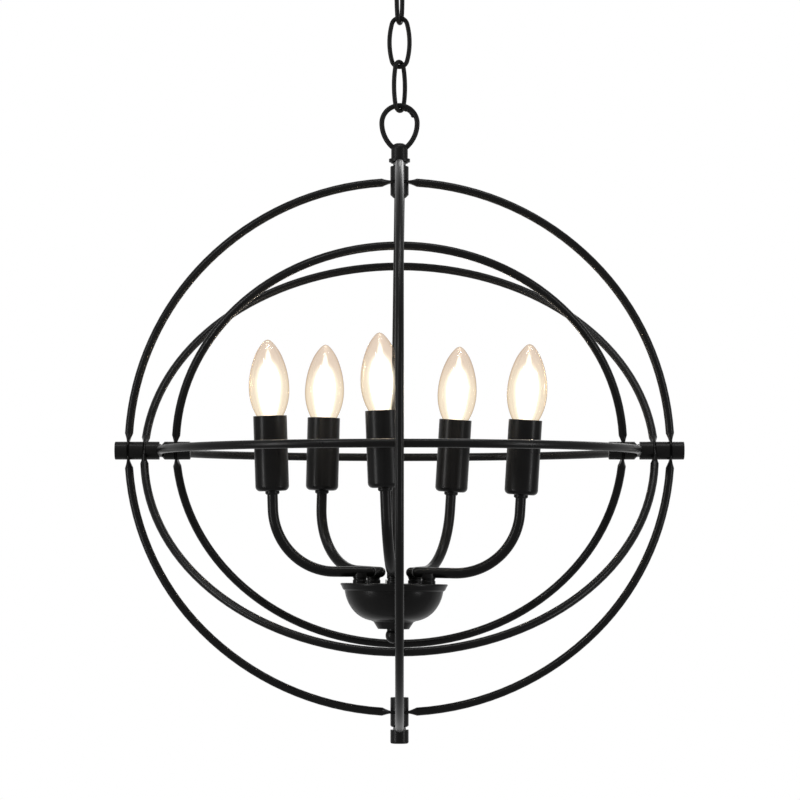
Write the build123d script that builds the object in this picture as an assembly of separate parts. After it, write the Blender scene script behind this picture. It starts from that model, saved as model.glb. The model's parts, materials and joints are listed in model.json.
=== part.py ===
from build123d import *
import os
from math import asin, atan2, cos, degrees, hypot, radians, sin, sqrt, tan

# Orb chandelier: five nested steel rings round a cluster of five candle lights.
# Two rings stand upright, one level and two tilted, and they turn on studs with spacers.
# It hangs on three oval links from a ceiling canopy.
# Millimetres, +Z up, +X to the right and +Y away from the viewer.
# The origin is on the ceiling plane, in the middle of the canopy.

# ---- rings: round tube, squeezed flat and drilled where a stud goes through ----
RING_TUBE = 7.5            # tube diameter
TAB_THICK = 2.4            # thickness of the squeezed flat
TAB_WIDTH = 11.6           # width of the squeezed flat
TAB_FLAT = 8.6             # half the length of the flat
TAB_TAPER = 7.0            # length over which round tube becomes flat
FACE_HALF_WIDTH = 243.9    # fixed upright ring, seen face on: side flats from the middle
FACE_RISE = 241.65         # its top flat above the side studs
FACE_DROP = 235.35         # its bottom flat below the side studs
TURN_GAP = 0.1             # play between a turning flat and the spacer beside it

# ---- side studs and spacers ----
HUB_D = 16.2
SIDE_SPACERS = (12.0, 12.0, 11.1)   # from the outermost to the innermost
SIDE_CHAMFER = 2.2
END_CAP_LEN = 11.0
INNER_NUT_LEN = 11.6
STUD_D = 6.0
STUD_CLEAR = 0.3           # hole in a ring's flat or in a spacer, over the stud
STUD_DEPTH = 8.0           # how far a stud is screwed into a cap
THREAD_FIT = 0.04          # bore over a screw's outside diameter

# ---- ring positions at rest, in degrees from upright ----
WIDE_TILT = -39.3          # top leans away from the viewer
LEVEL_TILT = -90.0
SMALL_TILT = 28.9          # top leans towards the viewer
SIDE_RING_REACH = 253.6    # swinging upright ring, outermost: half its width

# ---- upper and lower pivots ----
PIVOT_D = 16.5
UPPER_SPACER = 13.0        # between the two upright rings
COLUMN_SPACER = 13.0       # between the face ring and the column
LOWER_SPACER = 12.0
LOWER_INNER_SPACER = 12.2
BOTTOM_CAP_LEN = 12.5
PIVOT_CHAMFER = 2.6
NIPPLE_D = 8.0             # hollow threaded tube through the upper pivot
NIPPLE_BORE = 4.6          # of the orb's tube
CEILING_BORE = 5.0         # of the ceiling's tube
NIPPLE_GRIP = 10.0         # length of nipple screwed in at each end

# ---- hanging loop: oval wire ring, cast in one with its domed stem ----
LOOP_WIRE = 4.6
LOOP_HALF_WIDTH = 15.9     # to the wire's middle
LOOP_ROUND = 15.9          # height of its round end
LOOP_LONG = 23.5           # height of its narrow end, down into the stem
STEM_D = 15.0
STEM_FLANGE_D = 19.0
STEM_FLANGE = 4.0
STEM_LEN = 18.1            # flange face to top of dome
STEM_DOME = 5.4            # height of the dome's rounding
LOOP_SINK = 5.4            # middle of the wire below the top of the dome
LEAD_HOLE = 4.4            # way for the supply lead

# ---- chain ----
LINK_WIRE = 4.1
LINK_LENGTH = 48.0
LINK_WIDTH = 22.1
LINK_MEET = 15             # angle at which a link's long sides pass into its round ends
LINK_PLAY = 0.3            # gap between wires that hang on each other
LINK_TURNS = (74.0, 0.0, 57.0)      # each link's plane, in degrees from the loop's plane

# ---- ceiling fitting ----
CANOPY_D = 125.0
CANOPY_DEEP = 24.0
CANOPY_WALL = 1.2
CEILING_STEM_LEN = 26.0
CEILING_STEM_TOP = 15.0    # the ceiling loop's stem starts this far below the ceiling
COLLAR_D = 27.0
COLLAR_H = 6.0
BAR_LEN = 102.0
BAR_WIDE = 18.0
BAR_THICK = 2.5
SLOT_LEN = 12.0
SLOT_WIDE = 4.6
SLOT_SPACING = 84.0

# ---- column, bowl and finial ----
TUBE_D = 9.5               # arms and column are the same tube
TUBE_BORE = 7.3
COLUMN_LEAN = 0.80         # the cluster hangs a little out of true, in degrees
COLUMN_GAP = 0.1           # between the top of the column and its spacer
COLUMN_SEAT = 0.4          # bore over the nipple's diameter, which lets the column lean
PLATE_DEPTH = 119.7        # top of the bowl's plate below the side studs
PLATE_R = 48.3
PLATE_THICK = 1.6
BOWL_WALL = 1.2
BOWL_LIP = 5.1
BOWL_BODY_R = 44.4
# the body's outline below the lip as (radius, depth under the plate's top): two arcs
BOWL_ARCS = ((42.3, 14.8), (37.1, 23.8), (31.1, 29.3), (20.4, 33.5))
NECK_TOP_R = 18.0
NECK_TOP = 34.6
NECK_R = 14.0
NECK_LEN = 40.9
FINIAL_R = 7.1
FINIAL_NECK_R = 5.9
FINIAL_SHANK = 9.0

# ---- arms ----
ARM_COUNT = 5
ARM_DEPTH = 109.3          # middle of the arm tubes below the side studs
POST_CIRCLE_R = 32.2
POST_D = 13.0
POST_WAIST_D = 11.8
POST_SHANK_D = 7.0
POST_BORE = 4.6
POST_NUT_H = 4.0
POST_NUT_AF = 12.0
ARM_INNER = 10.0           # middle of the rounded inner end, inwards from the post
ARM_STRAIGHT = 23.5        # start of the bend, outwards from the post
ARM_BEND_R = 57.7
ARM_OUT_LEAN = 2.0         # the candles lean outwards, in degrees
ARM_RISE = 13.0            # straight tube above the bend
SADDLE_GAP = 0.05
LEAD_D = 3.4
LEAD_TURN_R = 5.5
LEAD_END = 12.6            # end of a lead below the top of the plate
SPLICE_D = 5.4
SPLICE_LEN = 7.0
ARM_PLACES = (-1, -2, 0, 2, 1)      # fifths of a turn to the right of the viewer's side
# how each arm was set by hand: turned about its post, and rolled about its own tube
ARM_TURNS = (-0.8, 3.1, -3.7, 14.3, 10.3)
ARM_ROLLS = (0.0, 1.0, 2.9, 2.9, 0.8)
ARM_TILTS = (0.7, -1.8, -1.5, -2.1, 0.7)        # outer end downwards, by the bender's tolerance

# ---- candle sleeves, lamp holders and lamps ----
COLLET_D = 12.7
COLLET_H = 3.0
COLLET_SHANK_D = 7.0
COLLET_UP = 9.0
SLEEVE_D = 30.0
SLEEVE_H = 67.0
SLEEVE_WALL = 1.0
SLEEVE_CORNER = 4.5
HOLDER_D = 21.0
HOLDER_FOOT_D = 13.0
HOLDER_STEP = 26.0
HOLDER_TOP = 58.0
SHELL_D = 12.9
SHELL_WALL = 0.35
SHELL_BASE = 38.0
LAMP_CAP_D = 11.9
LAMP_CAP_BASE = 40.5
LAMP_NECK = 58.6
LAMP_TIP = 135.0
LAMP_R = 18.0
GLASS_WALL = 0.8
# glass outline as (radius, height): stops between arcs, the arcs' middles, and under the round nose
GLASS_STOPS = ((5.9, 58.8), (8.0, 61.0), (LAMP_R, 91.0), (7.5, 129.2))
GLASS_MIDDLES = ((14.84, 73.5), (14.84, 112.5))
GLASS_SHOULDER = (5.75, 131.6)
GLASS_NOSE_R = 5.0
ROD_D = 1.8                # filament rods
ROD_FOOT = (4.2, 79.0)
ROD_HEAD = (1.8, 112.0)

# ---- worked out from the sizes above ----
RING_R = RING_TUBE / 2
TAB_STEP = TAB_THICK + 2 * TURN_GAP
WIDE_R = FACE_HALF_WIDTH - SIDE_SPACERS[0] - TAB_THICK / 2 - TURN_GAP - TAB_THICK / 2
LEVEL_R = WIDE_R - SIDE_SPACERS[1] - TAB_STEP
SMALL_R = LEVEL_R - SIDE_SPACERS[2] - TAB_STEP
SIDE_RISE = FACE_RISE + UPPER_SPACER + TAB_THICK + TURN_GAP
SIDE_DROP = FACE_DROP + LOWER_SPACER + TAB_THICK + TURN_GAP
STEM_FACE = SIDE_RISE + TAB_THICK / 2 + TURN_GAP
COLUMN_TOP = FACE_RISE - TAB_THICK / 2 - COLUMN_SPACER - COLUMN_GAP
LOOP_PIVOT = STEM_LEN - LOOP_SINK + LOOP_LONG + LOOP_ROUND
LINK_PITCH = LINK_LENGTH - 2 * LINK_WIRE - LINK_PLAY
CEILING_LOOP_WIRE = CEILING_STEM_TOP + CEILING_STEM_LEN - LOOP_SINK + LOOP_LONG + LOOP_ROUND
FIRST_LINK_TOP = CEILING_LOOP_WIRE - LOOP_WIRE / 2 - LINK_PLAY - LINK_WIRE
LAST_LINK_WIRE = FIRST_LINK_TOP + 2 * LINK_PITCH + LINK_LENGTH - LINK_WIRE / 2
LAMP_LOOP_WIRE = LAST_LINK_WIRE - LINK_WIRE / 2 - LINK_PLAY - LOOP_WIRE / 2
STUD_HEIGHT = -(LAMP_LOOP_WIRE + STEM_FACE + LOOP_PIVOT)
PLATE_TOP = -PLATE_DEPTH
PLATE_UNDER = PLATE_TOP - PLATE_THICK
NECK_END = PLATE_TOP - NECK_LEN


def disc(radius, low, high):
    """Upright cylinder from low to high."""
    return Pos(0, 0, (low + high) / 2) * Cylinder(radius, high - low)


def turned(points):
    """Solid of revolution about Z from (radius, height) corners."""
    outline = Polyline(*[(r, 0, z) for r, z in points], close=True)
    return revolve(make_face(outline), Axis.Z)


def hexagon(across_flats, low, high):
    """Upright hexagonal prism."""
    outline = RegularPolygon(across_flats / sqrt(3), 6)
    return Pos(0, 0, low) * extrude(outline, high - low)


def along_x(shape):
    """Turn something made along +Z so that it lies along +X."""
    return Rot(0, 90, 0) * shape


def at_studs(shape):
    """Move from the frame of the side studs to the ceiling's frame."""
    return Pos(0, 0, STUD_HEIGHT) * shape


def leaning(shape):
    """The column and all it carries lean about the top of the column."""
    return Pos(0, 0, COLUMN_TOP) * Rot(0, COLUMN_LEAN, 0) * Pos(0, 0, -COLUMN_TOP) * shape


# ---------------------------------------------------------------- bent wire and tube

def bend(centre, radius, start, end, tube_r):
    """Round tube bent along an arc in the XY plane, angles in degrees from +X."""
    section = Pos(centre[0] + radius, centre[1], 0) * Rot(90, 0, 0) * Circle(tube_r)
    arc = revolve(section, Axis((*centre, 0), (0, 0, 1)), end - start)
    turn = Pos(*centre, 0) * Rot(0, 0, start) * Pos(-centre[0], -centre[1], 0)
    return turn * arc


def oval_centres(half_width, half_height, meet=45):
    """A quarter oval of two tangent arcs: how far along X and along Y their centres lie.

    The arcs meet where both are at the angle meet from +X.
    """
    angle = radians(meet)
    along = (half_width - half_height) / (1 - 1 / cos(angle) + tan(angle))
    return along, -along * tan(angle)


def oval_quarter(half_width, half_height, tube_r, trim_side=0.0, trim_top=0.0, meet=45):
    """Tube along a quarter oval from +X to +Y, each end trimmed by a length of arc."""
    along_side, along_top = oval_centres(half_width, half_height, meet)
    side_r = half_width - along_side
    top_r = half_height - along_top
    start = degrees(trim_side / side_r)
    end = 90 - degrees(trim_top / top_r)
    if abs(along_side) < 1e-6:
        return [bend((0, 0), side_r, start, end, tube_r)]
    side = bend((along_side, 0), side_r, start, meet, tube_r)
    top = bend((0, along_top), top_r, meet, end, tube_r)
    return [side, top]


def mirrored(solids, flip_x, flip_y):
    """Copies of solids in another quadrant."""
    if flip_x:
        solids = [mirror(s, Plane.YZ) for s in solids]
    if flip_y:
        solids = [mirror(s, Plane.XZ) for s in solids]
    return solids


# ---------------------------------------------------------------- rings

def flat_section(centre, normal, across):
    """Section of the squeezed tube: two straight sides closed by two half rounds."""
    plane = Plane(origin=centre, x_dir=across, z_dir=normal)
    half = TAB_WIDTH / 2 - TAB_THICK / 2
    thin = TAB_THICK / 2
    edges = [
        Line((thin, -half), (thin, half)),
        ThreePointArc((thin, half), (0, half + thin), (-thin, half)),
        Line((-thin, half), (-thin, -half)),
        ThreePointArc((-thin, -half), (0, -half - thin), (thin, -half)),
    ]
    return Wire([plane.from_local_coords(edge.edge()) for edge in edges])


def round_section(centre, normal, across):
    """Section of the round tube, cut into the same four stretches as the flat one."""
    plane = Plane(origin=centre, x_dir=across, z_dir=normal)
    c = RING_R * cos(radians(45))
    corners = [(c, -c), (c, c), (-c, c), (-c, -c)]
    middles = [(RING_R, 0), (0, RING_R), (-RING_R, 0), (0, -RING_R)]
    edges = []
    for i in range(4):
        edges.append(ThreePointArc(corners[i], middles[i], corners[(i + 1) % 4]))
    return Wire([plane.from_local_coords(edge.edge()) for edge in edges])


def squeezed_end(half_width, half_height):
    """Tube that goes from flat to round beside the +X end of an oval, on its +Y side."""
    middle, _ = oval_centres(half_width, half_height)
    side_r = half_width - middle
    turn = (TAB_FLAT + TAB_TAPER) / side_r
    centre = (middle + side_r * cos(turn), side_r * sin(turn), 0)
    normal = (-sin(turn), cos(turn), 0)
    across = (cos(turn), sin(turn), 0)
    flat = flat_section((half_width, TAB_FLAT, 0), (0, 1, 0), (1, 0, 0))
    tube = round_section(centre, normal, across)
    return Solid.make_loft([flat, tube], True)


def drilled_flat(half_width, hole_d):
    """The flat itself at the +X end, with the hole for its stud."""
    wire = flat_section((half_width, -TAB_FLAT, 0), (0, 1, 0), (1, 0, 0))
    flat = extrude(Face(wire), TAB_FLAT * 2, dir=(0, 1, 0))
    hole = Pos(half_width, 0, 0) * along_x(Cylinder(hole_d / 2, TAB_THICK * 3))
    return flat - hole


def ring(half_width, rise, drop, side_hole=0.0, pivot_hole=0.0):
    """Ring in the XY plane, +Y its top, with drilled flats at its sides, its top and bottom, or both."""
    trim = TAB_FLAT + TAB_TAPER
    side_trim = trim if side_hole else 0.0
    top_trim = trim if pivot_hole else 0.0
    parts = []
    for flip_y, height in ((False, rise), (True, drop)):
        for flip_x in (False, True):
            quarter = oval_quarter(half_width, height, RING_R, side_trim, top_trim)
            if side_hole:
                quarter.append(squeezed_end(half_width, height))
            if pivot_hole:
                end = squeezed_end(height, half_width)
                quarter.append(mirror(Rot(0, 0, 90) * end, Plane.YZ))
            parts += mirrored(quarter, flip_x, flip_y)
    if side_hole:
        for turn in (0, 180):
            parts.append(Rot(0, 0, turn) * drilled_flat(half_width, side_hole))
    if pivot_hole:
        for turn, height in ((90, rise), (-90, drop)):
            parts.append(Rot(0, 0, turn) * drilled_flat(height, pivot_hole))
    whole = parts[0].fuse(*parts[1:])
    return Part() + whole


def face_ring():
    """Fixed upright ring: flats at both sides for the studs, and at top and bottom."""
    hole = STUD_D + STUD_CLEAR
    flat = ring(FACE_HALF_WIDTH, FACE_RISE, FACE_DROP, hole, NIPPLE_D + STUD_CLEAR)
    return at_studs(Rot(90, 0, 0) * flat)


def side_ring():
    """Outermost upright ring, seen edge on, which swings on the upper and lower pivots."""
    flat = ring(SIDE_RING_REACH, SIDE_RISE, SIDE_DROP, 0.0, NIPPLE_D + STUD_CLEAR)
    return at_studs(Rot(0, 0, 90) * Rot(90, 0, 0) * flat)


def tilting_ring(radius, tilt):
    """Round ring that turns on the side studs, at its angle from upright."""
    flat = ring(radius, radius, radius, STUD_D + STUD_CLEAR)
    return at_studs(Rot(tilt, 0, 0) * Rot(90, 0, 0) * flat)


# ---------------------------------------------------------------- studs, spacers and caps

def spacer(diameter, length, bore, chamfer_low=0.0, chamfer_high=0.0):
    """Drilled round spacer, from Z = 0 upwards."""
    r = diameter / 2
    points = [(bore / 2, 0), (r - chamfer_low, 0), (r, chamfer_low)]
    points += [(r, length - chamfer_high), (r - chamfer_high, length), (bore / 2, length)]
    corners = [p for i, p in enumerate(points) if p != points[i - 1]]
    return turned(corners)


def blind_cap(diameter, length, bore, depth, rounding):
    """Cap nut from Z = 0 upwards: bored from below, its upper rim rounded."""
    r = diameter / 2
    body = disc(r, 0, length)
    body = fillet(body.edges().group_by(Axis.Z)[-1], rounding)
    return body - disc(bore / 2, -1, depth)


def side_hub(side):
    """Spacers, inner nut, end cap and stud on one side: +1 right, -1 left."""
    hole = STUD_D + STUD_CLEAR
    starts = [LEVEL_R + TAB_STEP / 2, SMALL_R + TAB_STEP / 2]
    starts.insert(0, WIDE_R + TAB_STEP / 2)
    chamfers = (0.0, 0.0, SIDE_CHAMFER)
    spacers = []
    for start, length, cut in zip(starts, SIDE_SPACERS, chamfers):
        piece = spacer(HUB_D, length, hole, chamfer_high=cut)
        spacers.append(Pos(start, 0, 0) * along_x(piece))
    nut_face = SMALL_R - TAB_STEP / 2
    nut = blind_cap(HUB_D, INNER_NUT_LEN, STUD_D + THREAD_FIT, STUD_DEPTH, 0.8)
    nut = Pos(nut_face, 0, 0) * Rot(0, -90, 0) * nut
    cap_face = FACE_HALF_WIDTH + TAB_THICK / 2
    cap = blind_cap(HUB_D, END_CAP_LEN, STUD_D + THREAD_FIT, STUD_DEPTH, 0.8)
    cap = Pos(cap_face, 0, 0) * along_x(cap)
    grip = STUD_DEPTH - 0.5
    stud = along_x(disc(STUD_D / 2, nut_face - grip, cap_face + grip))
    turn = Rot(0, 0, 0 if side > 0 else 180)
    hub = {"spacers": spacers, "nut": [nut], "cap": [cap], "stud": [stud]}
    return {name: [at_studs(turn * s) for s in solids] for name, solids in hub.items()}


def upper_spacers():
    """The two spacers under the hanging stem, one above and one below the face ring's flat."""
    bore = NIPPLE_D + STUD_CLEAR
    outer = spacer(PIVOT_D, UPPER_SPACER, bore, chamfer_high=0.5)
    inner = spacer(PIVOT_D, COLUMN_SPACER, bore, chamfer_low=PIVOT_CHAMFER)
    outer = Pos(0, 0, FACE_RISE + TAB_THICK / 2) * outer
    inner = Pos(0, 0, FACE_RISE - TAB_THICK / 2 - COLUMN_SPACER) * inner
    return at_studs(outer), at_studs(inner)


def upper_nipple():
    """Hollow threaded tube that clamps the upper pivot and leads the wires down."""
    low = COLUMN_TOP - NIPPLE_GRIP
    high = STEM_FACE + NIPPLE_GRIP
    tube = disc(NIPPLE_D / 2, low, high) - disc(NIPPLE_BORE / 2, low - 1, high + 1)
    return at_studs(tube)


def lower_pivot():
    """Inner spacer, outer spacer, cap and stud under the orb."""
    bore = STUD_D + STUD_CLEAR
    flat_top = -FACE_DROP + TAB_THICK / 2
    flat_low = -FACE_DROP - TAB_THICK / 2
    cap_face = -SIDE_DROP - TAB_THICK / 2 - TURN_GAP
    nut = blind_cap(PIVOT_D, LOWER_INNER_SPACER, STUD_D + THREAD_FIT, STUD_DEPTH, 0.8)
    nut = Pos(0, 0, flat_top) * nut
    outer = spacer(PIVOT_D, LOWER_SPACER, bore, chamfer_low=1.2)
    outer = Pos(0, 0, flat_low - LOWER_SPACER) * outer
    cap = blind_cap(PIVOT_D, BOTTOM_CAP_LEN, STUD_D + THREAD_FIT, STUD_DEPTH, 1.6)
    cap = Pos(0, 0, cap_face) * Rot(180, 0, 0) * cap
    grip = STUD_DEPTH - 0.5
    stud = disc(STUD_D / 2, cap_face - grip, flat_top + grip)
    return [at_studs(s) for s in (nut, outer, cap, stud)]


# ---------------------------------------------------------------- hanging loops and chain

def wire_loop():
    """Oval wire loop in the XZ plane: narrow end at the origin, round end above."""
    narrow = oval_quarter(LOOP_HALF_WIDTH, LOOP_LONG, LOOP_WIRE / 2)
    round_end = oval_quarter(LOOP_HALF_WIDTH, LOOP_ROUND, LOOP_WIRE / 2)
    parts = []
    for flip_x in (False, True):
        parts += mirrored(narrow, flip_x, True)
        parts += mirrored(round_end, flip_x, False)
    loop = parts[0].fuse(*parts[1:])
    return Pos(0, 0, LOOP_LONG) * Rot(90, 0, 0) * loop


def stem_loop(length, flange):
    """Domed stem from Z = 0 upwards with its loop, threaded below for the nipple."""
    stem = disc(STEM_D / 2, 0, length)
    stem = fillet(stem.edges().group_by(Axis.Z)[-1], STEM_DOME)
    if flange:
        r, wide = STEM_D / 2 - 1, STEM_FLANGE_D / 2
        stem += turned([(0, 0), (r - 0.6, 0), (wide, 1.2), (wide, STEM_FLANGE), (0, STEM_FLANGE)])
    whole = stem + Pos(0, 0, length - LOOP_SINK) * wire_loop()
    thread = disc((NIPPLE_D + THREAD_FIT) / 2, -1, NIPPLE_GRIP + 1)
    return whole - thread - disc(LEAD_HOLE / 2, -1, length + 1)


def top_loop():
    """Loop at the top of the orb, standing on the swinging ring's flat."""
    return at_studs(Pos(0, 0, STEM_FACE) * stem_loop(STEM_LEN, True))


def ceiling_loop():
    """The same loop upside down under the canopy, on a longer stem."""
    return Pos(0, 0, -CEILING_STEM_TOP) * Rot(180, 0, 0) * stem_loop(CEILING_STEM_LEN, False)


def chain_link(number):
    """Oval link of bent wire, hanging on the one above."""
    half_width = (LINK_WIDTH - LINK_WIRE) / 2
    half_height = (LINK_LENGTH - LINK_WIRE) / 2
    quarter = oval_quarter(half_width, half_height, LINK_WIRE / 2, meet=LINK_MEET)
    parts = []
    for flip_x in (False, True):
        for flip_y in (False, True):
            parts += mirrored(quarter, flip_x, flip_y)
    link = parts[0].fuse(*parts[1:])
    middle = -(FIRST_LINK_TOP + number * LINK_PITCH + LINK_LENGTH / 2)
    return Pos(0, 0, middle) * Rot(0, 0, LINK_TURNS[number]) * Rot(90, 0, 0) * link


# ---------------------------------------------------------------- ceiling fitting

def canopy():
    """Pressed steel pan against the ceiling, with a hole for the loop's stem."""
    r = CANOPY_D / 2
    base = -CANOPY_DEEP
    flat_r = r * 0.55
    profile = [
        Line((r, 0, 0), (r, 0, -3)),
        Line((r, 0, -3), (r - 2.5, 0, -5)),
        ThreePointArc((r - 2.5, 0, -5), (r * 0.79, 0, base * 0.72), (flat_r, 0, base)),
        Line((flat_r, 0, base), (0, 0, base)),
        Line((0, 0, base), (0, 0, 0)),
        Line((0, 0, 0), (r, 0, 0)),
    ]
    pan = revolve(make_face(profile), Axis.Z)
    pan = offset(pan, -CANOPY_WALL, openings=pan.faces().sort_by(Axis.Z)[-1])
    return pan - disc((STEM_D + 2 * STUD_CLEAR) / 2, base - 1, 0)


def canopy_collar():
    """Round nut that screws up the stem and holds the canopy to the ceiling."""
    r = COLLAR_D / 2
    nut = spacer(COLLAR_D, COLLAR_H, STEM_D + THREAD_FIT, chamfer_low=1.5)
    for turn in range(0, 360, 30):
        nut -= Rot(0, 0, turn) * Pos(r + 0.7, 0, COLLAR_H / 2) * Cylinder(1.6, COLLAR_H * 2)
    return Pos(0, 0, -CANOPY_DEEP - COLLAR_H) * nut


def ceiling_bar():
    """Flat strap that is screwed to the ceiling box, with two slots and a tapped middle."""
    blank = SlotOverall(BAR_LEN, BAR_WIDE)
    boss = Circle(BAR_WIDE * 0.62)
    slots = Sketch() + [Pos(s * SLOT_SPACING / 2, 0) * SlotOverall(SLOT_LEN, SLOT_WIDE) for s in (-1, 1)]
    bar = extrude(blank + boss - slots - Circle((NIPPLE_D + THREAD_FIT) / 2), BAR_THICK)
    return Pos(0, 0, -BAR_THICK) * bar


def ceiling_nipple():
    """Hollow threaded tube from the bar down into the ceiling loop's stem."""
    low = -CEILING_STEM_TOP - NIPPLE_GRIP
    return disc(NIPPLE_D / 2, low, 0) - disc(CEILING_BORE / 2, low - 1, 1)


# ---------------------------------------------------------------- column, plate and bowl

def column():
    """Hollow column from the upper pivot down through the plate into the bowl's neck."""
    low = NECK_END + BOWL_WALL
    tube = disc(TUBE_D / 2, low, COLUMN_TOP) - disc(TUBE_BORE / 2, low - 1, COLUMN_TOP + 1)
    seat = disc((NIPPLE_D + COLUMN_SEAT) / 2, COLUMN_TOP - NIPPLE_GRIP - 1, COLUMN_TOP + 1)
    return at_studs(leaning(tube - seat))


def bowl_plate():
    """Round plate that carries the arms and closes the bowl, with a hole for each post."""
    plate = disc(PLATE_R, PLATE_UNDER, PLATE_TOP)
    plate = chamfer(plate.edges().group_by(Axis.Z)[-1], 0.4)
    plate -= disc((TUBE_D + STUD_CLEAR) / 2, PLATE_UNDER - 1, PLATE_TOP + 1)
    hole = disc((POST_SHANK_D + STUD_CLEAR) / 2, PLATE_UNDER - 1, PLATE_TOP + 1)
    for number in range(ARM_COUNT):
        plate -= post_place(number) * hole
    return at_studs(leaning(plate))


def bowl():
    """Spun bowl under the plate: rolled lip, round body, tapered neck with a hole in its floor."""
    lip_low = PLATE_UNDER - BOWL_LIP
    high, belly, low, foot = [(r, 0, PLATE_TOP - depth) for r, depth in BOWL_ARCS]
    neck_top = (NECK_TOP_R, 0, PLATE_TOP - NECK_TOP)
    outline = [
        Line((0, 0, PLATE_UNDER), (PLATE_R - 0.4, 0, PLATE_UNDER)),
        Line((PLATE_R - 0.4, 0, PLATE_UNDER), (PLATE_R - 2.2, 0, lip_low + 1.2)),
        Line((PLATE_R - 2.2, 0, lip_low + 1.2), (BOWL_BODY_R, 0, lip_low)),
        ThreePointArc((BOWL_BODY_R, 0, lip_low), high, belly),
        ThreePointArc(belly, low, foot),
        Line(foot, neck_top),
        Line(neck_top, (NECK_R, 0, NECK_END)),
        Line((NECK_R, 0, NECK_END), (0, 0, NECK_END)),
        Line((0, 0, NECK_END), (0, 0, PLATE_UNDER)),
    ]
    solid = revolve(make_face(outline), Axis.Z)
    shell = offset(solid, -BOWL_WALL, openings=solid.faces().sort_by(Axis.Z)[-1])
    shell -= disc((TUBE_BORE + STUD_CLEAR) / 2, NECK_END - 1, NECK_END + 2 * BOWL_WALL)
    return at_studs(leaning(shell))


def column_nuts():
    """Two thin nuts on the column that clamp the plate between them."""
    bore = disc((TUBE_D + THREAD_FIT) / 2, PLATE_UNDER - 9, PLATE_TOP + 9)
    upper = hexagon(14.0, PLATE_TOP, PLATE_TOP + 3.5) - bore
    lower = hexagon(14.0, PLATE_UNDER - 3.5, PLATE_UNDER) - bore
    return [at_studs(leaning(nut)) for nut in (upper, lower)]


def bowl_finial():
    """Ball on a short neck whose shank goes up through the bowl's floor into the column."""
    shank = disc(TUBE_BORE / 2 - 0.02, NECK_END, NECK_END + BOWL_WALL + FINIAL_SHANK)
    neck = disc(FINIAL_NECK_R, NECK_END - 1.6, NECK_END)
    ball = Pos(0, 0, NECK_END + 1.3 - FINIAL_R) * Sphere(FINIAL_R)
    ball -= disc(FINIAL_R * 2, NECK_END, NECK_END + 9)
    return at_studs(leaning(shank + neck + ball))


# ---------------------------------------------------------------- arms

def post_place(number):
    """Place of an arm's post: +X points outwards, before the arm is turned by hand."""
    return Rot(0, 0, ARM_PLACES[number] * 360 / ARM_COUNT - 90) * Pos(POST_CIRCLE_R, 0, 0)


def arm_place(number, rolled=True):
    """Place of an arm, its tube's middle at the origin over the post."""
    set_by_hand = Rot(0, 0, ARM_TURNS[number])
    if rolled:
        set_by_hand = set_by_hand * Rot(0, ARM_TILTS[number], 0) * Rot(ARM_ROLLS[number], 0, 0)
    return post_place(number) * Pos(0, 0, -ARM_DEPTH) * set_by_hand


def candle_place():
    """From the arm's frame to the underside of its candle sleeve."""
    turn = radians(90 - ARM_OUT_LEAN)
    x = ARM_STRAIGHT + ARM_BEND_R * sin(turn) + ARM_RISE * cos(turn)
    z = ARM_BEND_R * (1 - cos(turn)) + ARM_RISE * sin(turn)
    return Pos(x, 0, z) * Rot(0, ARM_OUT_LEAN, 0) * Pos(0, 0, COLLET_H)


def arm_run(radius, inner, above):
    """Solid rod along the middle of an arm, from inner out, round the bend and up."""
    level = Pos((ARM_STRAIGHT + inner) / 2, 0, 0) * along_x(Cylinder(radius, ARM_STRAIGHT - inner))
    turn = 90 - ARM_OUT_LEAN
    arc = Rot(90, 0, 0) * bend((0, 0), ARM_BEND_R, -90, -90 + turn, radius)
    arc = Pos(ARM_STRAIGHT, 0, ARM_BEND_R) * arc
    top = candle_place() * disc(radius, -COLLET_H - ARM_RISE, -COLLET_H + above)
    return level + arc + top


def arm(number):
    """Bent tube with a rounded, closed inner end and a hole over its post for the lead."""
    tube = arm_run(TUBE_D / 2, -ARM_INNER, 0) + Pos(-ARM_INNER, 0, 0) * Sphere(TUBE_D / 2)
    tube -= arm_run(TUBE_BORE / 2, -ARM_INNER, 1)
    tube -= disc(POST_BORE / 2 + 0.6, -TUBE_D, 0)
    return at_studs(leaning(arm_place(number) * tube))


def arm_post(number):
    """Waisted post under an arm, saddled to its tube, with a hollow threaded shank below."""
    stand = ARM_DEPTH - PLATE_DEPTH
    wide, waist = POST_D / 2, POST_WAIST_D / 2
    outline = [(0, stand), (wide, stand), (wide, stand + 2.6), (waist, stand + 3.2)]
    outline += [(waist, stand + 4.4), (wide, stand + 5.0), (wide, -1.0), (0, -1.0)]
    body = turned(outline)
    saddle = along_x(Cylinder(TUBE_D / 2 + SADDLE_GAP, POST_D * 2))
    body -= Rot(0, ARM_TILTS[number], 0) * saddle
    shank = disc(POST_SHANK_D / 2, stand - PLATE_THICK - POST_NUT_H - 3, stand)
    post = body + shank - disc(POST_BORE / 2, -POST_D * 3, 1)
    return at_studs(leaning(arm_place(number, rolled=False) * post))


def post_nut(number):
    """Hexagon nut on a post's shank under the plate."""
    nut = hexagon(POST_NUT_AF, PLATE_UNDER - POST_NUT_H, PLATE_UNDER)
    nut -= disc((POST_SHANK_D + THREAD_FIT) / 2, PLATE_UNDER - 9, PLATE_TOP)
    return at_studs(leaning(post_place(number) * nut))


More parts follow.
